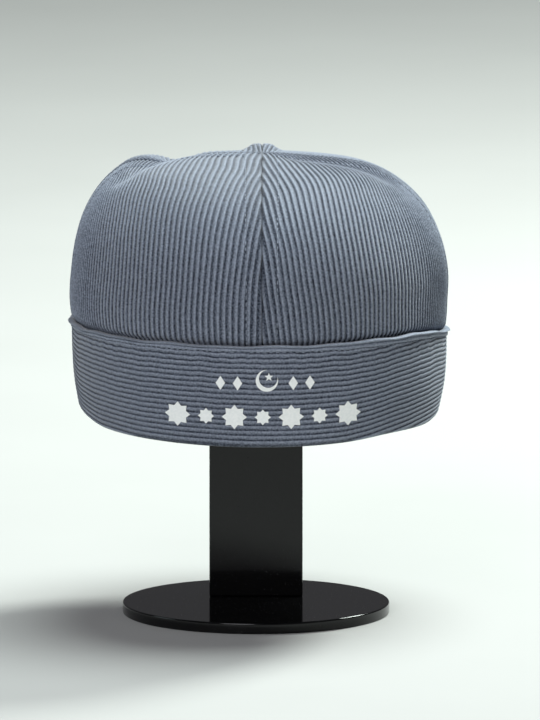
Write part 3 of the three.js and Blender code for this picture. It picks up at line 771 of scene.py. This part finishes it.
def band_mesh(name):
    """The band as a ring of closed columns: its lower fold, ribs, hem and plain inner face."""
    count = BAND_RIBS * POINTS_PER_RIB + 1
    up_ribs, up_hem = np.arange(count) / (count - 1), np.array(HEM_POINTS)
    rim = bell(up_hem, HEM_RIM["at"], HEM_RIM["width"])
    groove = HEM_GROOVE["depth"] * bell(up_hem, HEM_GROOVE["at"], HEM_GROOVE["width"])
    foot_dip = HEM_FOOT["depth"] * bell(up_hem, 0, HEM_FOOT["width"])
    arch = np.sin(np.pi * up_hem)
    turned = (up_hem - HEM_TURNS_IN["from"]) / (1 - HEM_TURNS_IN["from"])
    turned_in = HEM_TURNS_IN["depth"] * np.maximum(0, turned) ** 2
    angles = np.arange(0, 360, 360 / BAND_COLUMNS)
    columns = []
    for angle in angles:
        around = wrapped(angle)
        top, low = edge_height(around), BAND_BOTTOM + fold_rise(around)
        wave, slipped = pucker(around), pucker(around, PUCKER_SLIP)
        hem = hem_height(around)
        foot, head = low + RIBS_BEGIN_AT, top - hem - GROOVE_HEIGHT
        below = (1 - up_ribs) * (head - foot)
        lifted = RIBS_LIFT["height"] * slipped * bell(below, RIBS_LIFT["below"], RIBS_LIFT["width"])
        rib_z = foot + up_ribs * (head - foot) + lifted * np.minimum(1, below)
        rib_out = RIBS_SWELL["out"] * slipped * bell(below, RIBS_SWELL["below"], RIBS_SWELL["width"])
        lift = EDGE_WAVE * sum(
            math.sin(math.radians(times * around) + start) for times, start in EDGE_WAVES
        )
        hem_z = top - hem * (1 - up_hem) + HEM_TUCK["height"] * wave * arch + lift * up_hem
        tuck = HEM_TUCK["depth"] * slipped * np.sin(3 * np.pi * up_hem) * arch
        hem_out = HEM_BASE + HEM_PROUD * rim + tuck - foot_dip - turned_in - groove
        inner = [top + lift - INNER_TURN["below"], top - INNER_TURN["flat_below"]]
        inner += [(top + low) / 2, low + RIBS_BEGIN_AT]
        z = [*(low + up for up in FOLD_UP), *rib_z, *hem_z, *inner]
        out = [*FOLD_OUT, *rib_out, *hem_out, INNER_TURN["out"], -CLOTH, -CLOTH, -CLOTH]
        plain = len(up_hem) + len(inner)
        ribbed = [*FOLD_RIBBED, *np.ones(count), *np.zeros(plain)]
        across = np.arange(count) / POINTS_PER_RIB - 0.5 - rib_drift(around)
        across = [across[0], across[0], *across, *np.full(plain, PLAIN_ACROSS)]
        columns.append((z, out, ribbed, across))
    z, out, ribbed, across = np.array(columns).transpose(1, 0, 2)
    turn = np.repeat(angles[:, None], z.shape[1], axis=1)
    points, outward = band_point(turn, z, out)
    index = np.arange(z.size).reshape(z.shape)
    following = np.roll(index, -1, axis=0)
    faces = np.stack(
        [index, following, np.roll(following, -1, axis=1), np.roll(index, -1, axis=1)], axis=-1
    ).reshape(-1, 4)
    mesh = bpy.data.meshes.new(name)
    mesh.from_pydata((points.reshape(-1, 3) * MM).tolist(), [], faces.tolist())
    mesh.polygons.foreach_set("use_smooth", [True] * len(mesh.polygons))
    keep_values(mesh, "across", across.ravel() * RIB_PITCH * MM)
    keep_values(mesh, "from_seam", np.ones(z.size))
    keep_values(mesh, "ribbed", ribbed.ravel())
    keep_directions(mesh, "outward", outward.reshape(-1, 3))
    return mesh


band = placed("band_cloth", band_mesh("band_cloth"))
grown(band, cords, {
    "Pitch": RIB_PITCH * MM, "Relief": 0.0007, "Ground Share": 0.26, "Evenness": 0.5, "Slack": 0.0006,
    "Crease Depth": 0.0, "Crease Width": 0.001, "Allowance": -1.0, "Allowance Rise": 0.0,
    "Cloth": knit,
})
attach(band, "root")
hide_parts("band")

# The stitching of the hem.
# One row of lockstitches, in the same thread as the crown's, runs round the cap in the groove
# under the rolled edge.
turn = np.arange(-180, 180.01, 0.5)
heights = edge_height(turn) - hem_height(turn) - STITCHES_BELOW_HEM
points, outward = band_point(turn, heights, STITCHES_OUT)
hem_stitching = placed("hem_stitching", stitch_lines("hem_stitching", [(points, outward)]))
grown(hem_stitching, stitches, {
    "Spacing": 0.0029, "Length": 0.0021, "Thread": 0.0004, "Finish": thread,
})
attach(hem_stitching, "root")


# The print.
# Flat white ornament pressed on to the front of the band: lozenges, a crescent with a star, and
# a row of eight-pointed stars. The film lies on the cords and bridges the ground between them.
PRINT_BACK = 0.02
PRINT_FRONT = 0.34
LOZENGE = (2.1, 3.2)
LOZENGE_HEIGHT = 120.6
LOZENGE_PLACES = [-18.4, -10.8, 13.9, 21.3]
CRESCENT = {"across": 2.2, "height": 121.9, "outer": 4.95, "inner": 4.1, "shift": 1.08, "opens": 55}
STAR = {"across": 3.1, "height": 123.5, "outer": 2.0, "inner": 0.85, "points": 5}
ROSETTE_ROW = {"count": 7, "pitch": 12.6, "across": 0.4, "height": 105.2}
ROSETTES = [(5.6, 4.0), (3.6, 2.6)]  # outer and inner radius, large and small in turn
ROSETTE_POINTS = 8
CRESCENT_STEPS = (60, 52)
RIM_STEP, FILL_STEP = 0.5, 0.7
FRONT_TURNS = np.linspace(-60, 60, 2401)


def star_outline(outer, inner, points):
    """Corners of a star with one point straight up."""
    turn = math.pi * np.arange(2 * points) / points
    radius = np.where(np.arange(2 * points) % 2 == 0, outer, inner)
    return np.stack([radius * np.sin(turn), radius * np.cos(turn)], axis=1)[::-1]


def crescent_outline(outer, inner, shift, opens):
    """A disc less a smaller one, shifted towards the side that the crescent opens to."""
    half = math.acos((outer**2 + shift**2 - inner**2) / (2 * outer * shift))
    inner_half = math.pi - math.acos((inner**2 + shift**2 - outer**2) / (2 * inner * shift))
    facing = math.radians(opens)
    far_steps, near_steps = CRESCENT_STEPS
    far = facing + half + (2 * math.pi - 2 * half) * np.linspace(0, 1, far_steps)
    near_share = np.linspace(1, 0, near_steps)[1:-1]
    near = facing + inner_half + (2 * math.pi - 2 * inner_half) * near_share
    middle = shift * np.array([math.cos(facing), math.sin(facing)])
    outside = outer * np.stack([np.cos(far), np.sin(far)], axis=1)
    inside = middle + inner * np.stack([np.cos(near), np.sin(near)], axis=1)
    return np.concatenate([outside, inside])


def film_mesh(name, outline, across, height):
    """A thin film with this outline, laid on the front of the band."""
    spans = np.roll(outline, -1, axis=0) - outline
    rim = []
    for corner, span in zip(outline, spans):
        pieces = max(1, int(np.hypot(*span) / RIM_STEP))
        rim += [corner + span * i / pieces for i in range(pieces)]
    low, high = outline.min(axis=0), outline.max(axis=0)
    fill_x, fill_y = (np.arange(low[i], high[i], FILL_STEP) for i in (0, 1))
    grid = [(x, y) for x in fill_x for y in fill_y]
    flat, _, triangles, *_ = delaunay_2d_cdt(
        [tuple(p) for p in rim] + grid, [], [list(range(len(rim)))], 1, 1e-5
    )
    flat = np.array([tuple(p) for p in flat])
    used = sorted({i for triangle in triangles for i in triangle})
    renumber = {old: new for new, old in enumerate(used)}
    triangles = [tuple(renumber[i] for i in triangle) for triangle in triangles]
    flat = flat[used]
    z = height + flat[:, 1]
    angle = np.empty(len(flat))
    for i, (x, level) in enumerate(zip(flat[:, 0] + across, z)):
        side = band_point(FRONT_TURNS, np.full_like(FRONT_TURNS, level), 0.0)[0][:, 0] - SEAM_X
        angle[i] = np.interp(x, side, FRONT_TURNS)
    front, _ = band_point(angle, z, PRINT_FRONT)
    back, _ = band_point(angle, z, PRINT_BACK)
    count = len(flat)
    sides = [edge for a, b, c in triangles for edge in ((a, b), (b, c), (c, a))]
    inward = {(b, a) for a, b in sides}
    faces = list(triangles) + [(a + count, c + count, b + count) for a, b, c in triangles]
    faces += [(a, a + count, b + count, b) for a, b in sides if (a, b) not in inward]
    mesh = bpy.data.meshes.new(name)
    mesh.from_pydata((np.concatenate([front, back]) * MM).tolist(), [], faces)
    return mesh


def white_film():
    """Off-white heat-pressed film, matt, with the faint grain of the knit pressed into it."""
    material, start = new_material("white_film")
    place = start.node("ShaderNodeTexCoord", output="Object")
    grain = start.node("ShaderNodeTexNoise", sockets={"Vector": place, "Scale": 900.0, "Detail": 2.0})
    tint = grain.step(0.25, 0.75).mixed((0.80, 0.825, 0.815, 1), (0.87, 0.885, 0.87, 1))
    bump = start.node("ShaderNodeBump", sockets={"Height": grain, "Strength": 0.3, "Distance": 0.00012})
    return surfaced(
        material, start, {"Base Color": tint, "Roughness": 0.62 + 0.2 * grain, "Normal": bump}
    )


lozenge = np.array([(LOZENGE[0], 0), (0, LOZENGE[1]), (-LOZENGE[0], 0), (0, -LOZENGE[1])], float)
crescent = crescent_outline(*(CRESCENT[key] for key in ("outer", "inner", "shift", "opens")))
small_star = star_outline(STAR["outer"], STAR["inner"], STAR["points"])
prints = [
    (f"lozenge_{i + 1}", lozenge, across, LOZENGE_HEIGHT) for i, across in enumerate(LOZENGE_PLACES)
]
prints.append(("crescent", crescent, CRESCENT["across"], CRESCENT["height"]))
prints.append(("star", small_star, STAR["across"], STAR["height"]))
for i in range(ROSETTE_ROW["count"]):
    across = ROSETTE_ROW["across"] + (i - (ROSETTE_ROW["count"] - 1) / 2) * ROSETTE_ROW["pitch"]
    rosette = star_outline(*ROSETTES[i % 2], ROSETTE_POINTS)
    prints.append((f"rosette_{i + 1}", rosette, across, ROSETTE_ROW["height"]))
film = white_film()
for name, outline, across, height in prints:
    piece = placed("film_" + name, film_mesh("film_" + name, outline, across, height))
    piece.data.materials.append(film)
    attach(piece, "root")
    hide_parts("print_" + name)


# The stand.
# Polished black acrylic: a round foot, an upright slab glued to it, and a plain plate on top of
# the slab, which carries the crown and can't be seen. All edges have a small polished bevel.
FOOT_RADIUS, FOOT_THICKNESS = 60.0, 5.0
SLAB_WIDTH, SLAB_DEPTH, SLAB_FRONT, SLAB_TOP = 42.0, 9.0, 12.0, 196.9
POLISHED_EDGE = 0.6
EDGE_STEPS, SLAB_EDGE_STEPS, FOOT_SIDES = 5, 3, 192
SLAB_CLEARANCE = 0.05


def black_acrylic():
    """Polished black acrylic with faint wiping marks and a little dust."""
    material, start = new_material("black_acrylic")
    place = start.node("ShaderNodeTexCoord", output="Object")
    smear = start.node("ShaderNodeTexNoise", sockets={"Vector": place, "Scale": 35.0, "Detail": 4.0})
    dust = start.node("ShaderNodeTexNoise", sockets={"Vector": place, "Scale": 1400.0, "Detail": 1.0})
    speck = dust.step(0.70, 0.78)
    colour = speck.mixed((0.0022, 0.0022, 0.0024, 1), (0.02, 0.02, 0.02, 1))
    return surfaced(material, start, {
        "Base Color": colour,
        "Roughness": 0.05 + 0.09 * smear + 0.3 * speck,
        "Specular IOR Level": 0.3,
    })


def turned_disc(name, radius, low, high, edge, sides):
    """A solid of revolution about the z axis, with rounded edges."""
    curve = np.linspace(0, math.pi / 2, EDGE_STEPS)
    profile = [(radius - edge + edge * math.sin(t), low + edge - edge * math.cos(t)) for t in curve]
    profile += [(radius - edge + edge * math.cos(t), high - edge + edge * math.sin(t)) for t in curve]
    points = [(0, 0, low)]
    for r, z in profile:
        for i in range(sides):
            turn = 2 * math.pi * i / sides
            points.append((r * math.cos(turn), r * math.sin(turn), z))
    points.append((0, 0, high))
    faces = []
    for i in range(sides):
        following = (i + 1) % sides
        faces.append((0, 1 + following, 1 + i))
        for ring in range(len(profile) - 1):
            a, b = 1 + ring * sides, 1 + (ring + 1) * sides
            faces.append((a + i, a + following, b + following, b + i))
        top = 1 + (len(profile) - 1) * sides
        faces.append((len(points) - 1, top + i, top + following))
    mesh = bpy.data.meshes.new(name)
    mesh.from_pydata((np.array(points, float) * MM).tolist(), [], faces)
    mesh.polygons.foreach_set("use_smooth", [len(f) == 4 for f in faces])
    return mesh


acrylic = black_acrylic()
disc = turned_disc("foot_disc", FOOT_RADIUS, 0, FOOT_THICKNESS, POLISHED_EDGE, FOOT_SIDES)
foot = placed("foot_disc", disc)
foot.data.materials.append(acrylic)
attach(foot, "root")
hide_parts("stand_foot")

corners = np.array([(x, y, z) for z in (0, 1) for y in (0, 1) for x in (0, 1)], float)
corners *= (SLAB_WIDTH, SLAB_DEPTH, SLAB_TOP - FOOT_THICKNESS - 2 * SLAB_CLEARANCE)
corners += (-SLAB_WIDTH / 2, SLAB_FRONT, FOOT_THICKNESS + SLAB_CLEARANCE)
mesh = bpy.data.meshes.new("slab_upright")
mesh.from_pydata(
    (corners * MM).tolist(), [],
    [(0, 2, 3, 1), (4, 5, 7, 6), (0, 1, 5, 4), (1, 3, 7, 5), (3, 2, 6, 7), (2, 0, 4, 6)],
)
slab = placed("slab_upright", mesh)
bevel = slab.modifiers.new("polished edges", "BEVEL")
bevel.width, bevel.segments = POLISHED_EDGE * MM, SLAB_EDGE_STEPS
slab.data.materials.append(acrylic)
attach(slab, "root")
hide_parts("stand_slab")

top_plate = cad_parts["stand_top_plate"]
top_plate.data.materials.clear()
top_plate.data.materials.append(acrylic)


# The room.
# A plain pale floor, a wide soft light overhead, softer ones in front and on the left, a small
# one behind on the right, and a dim even glow from all round.
FLOOR_REACH = 60
FLOOR_COLOURS = (0.43, 0.425, 0.415, 1), (0.46, 0.455, 0.445, 1)
GLOW = (0.09, 0.09, 0.095, 1)


def lamp(name, place, aim, width, power, colour):
    """A round soft lamp that shines on the aim."""
    light = bpy.data.lights.new(name, "AREA")
    light.shape, light.size, light.energy, light.color = "DISK", width, power, colour
    piece = placed(name, light)
    away = np.array(place, float) - np.array(aim, float)
    piece.location = place
    piece.visible_camera = False
    flat = math.hypot(away[0], away[1])
    piece.rotation_euler = (math.atan2(flat, away[2]), 0, math.atan2(away[0], -away[1]))


lamp("overhead", (0.5, 0.35, 2.4), (0, 0, 0.2), 1.6, 72.0, (0.91, 1.01, 0.99))
lamp("front_fill", (-0.5, -1.7, 1.0), (0, 0, 0.15), 1.0, 17.5, (0.99, 0.99, 1.03))
lamp("left_soft", (-1.8, 0.1, 1.0), (0, 0, 0.17), 0.8, 4.5, (0.84, 1.0, 1.04))
lamp("right_rim", (0.95, 1.1, 1.4), (0, 0, 0.19), 0.5, 48.0, (0.92, 1.0, 0.95))

world = bpy.data.worlds.new("room")
bpy.context.scene.world = world
world.use_nodes = True
world.node_tree.nodes.clear()
start = Socket(world.node_tree)
start.node(
    "ShaderNodeOutputWorld",
    sockets={
        "Surface": start.node(
            "ShaderNodeBackground", sockets={"Color": GLOW, "Strength": 1.0}
        )
    },
)

floor_mesh = bpy.data.meshes.new("floor")
floor_corners = [(FLOOR_REACH * x, FLOOR_REACH * y, 0) for x, y in ((-1, -1), (1, -1), (1, 1), (-1, 1))]
floor_mesh.from_pydata(floor_corners, [], [(0, 1, 2, 3)])
floor = placed("floor", floor_mesh)
floor_paint, start = new_material("floor_paint")
place = start.node("ShaderNodeTexCoord", output="Object")
mottle = start.node("ShaderNodeTexNoise", sockets={"Vector": place, "Scale": 6.0, "Detail": 3.0})
floor.data.materials.append(surfaced(floor_paint, start, {
    "Base Color": mottle.mixed(*FLOOR_COLOURS),
    "Roughness": 0.7 + 0.1 * mottle,
    "Specular IOR Level": 0.2,
}))

bpy.context.scene.view_settings.view_transform = "Standard"
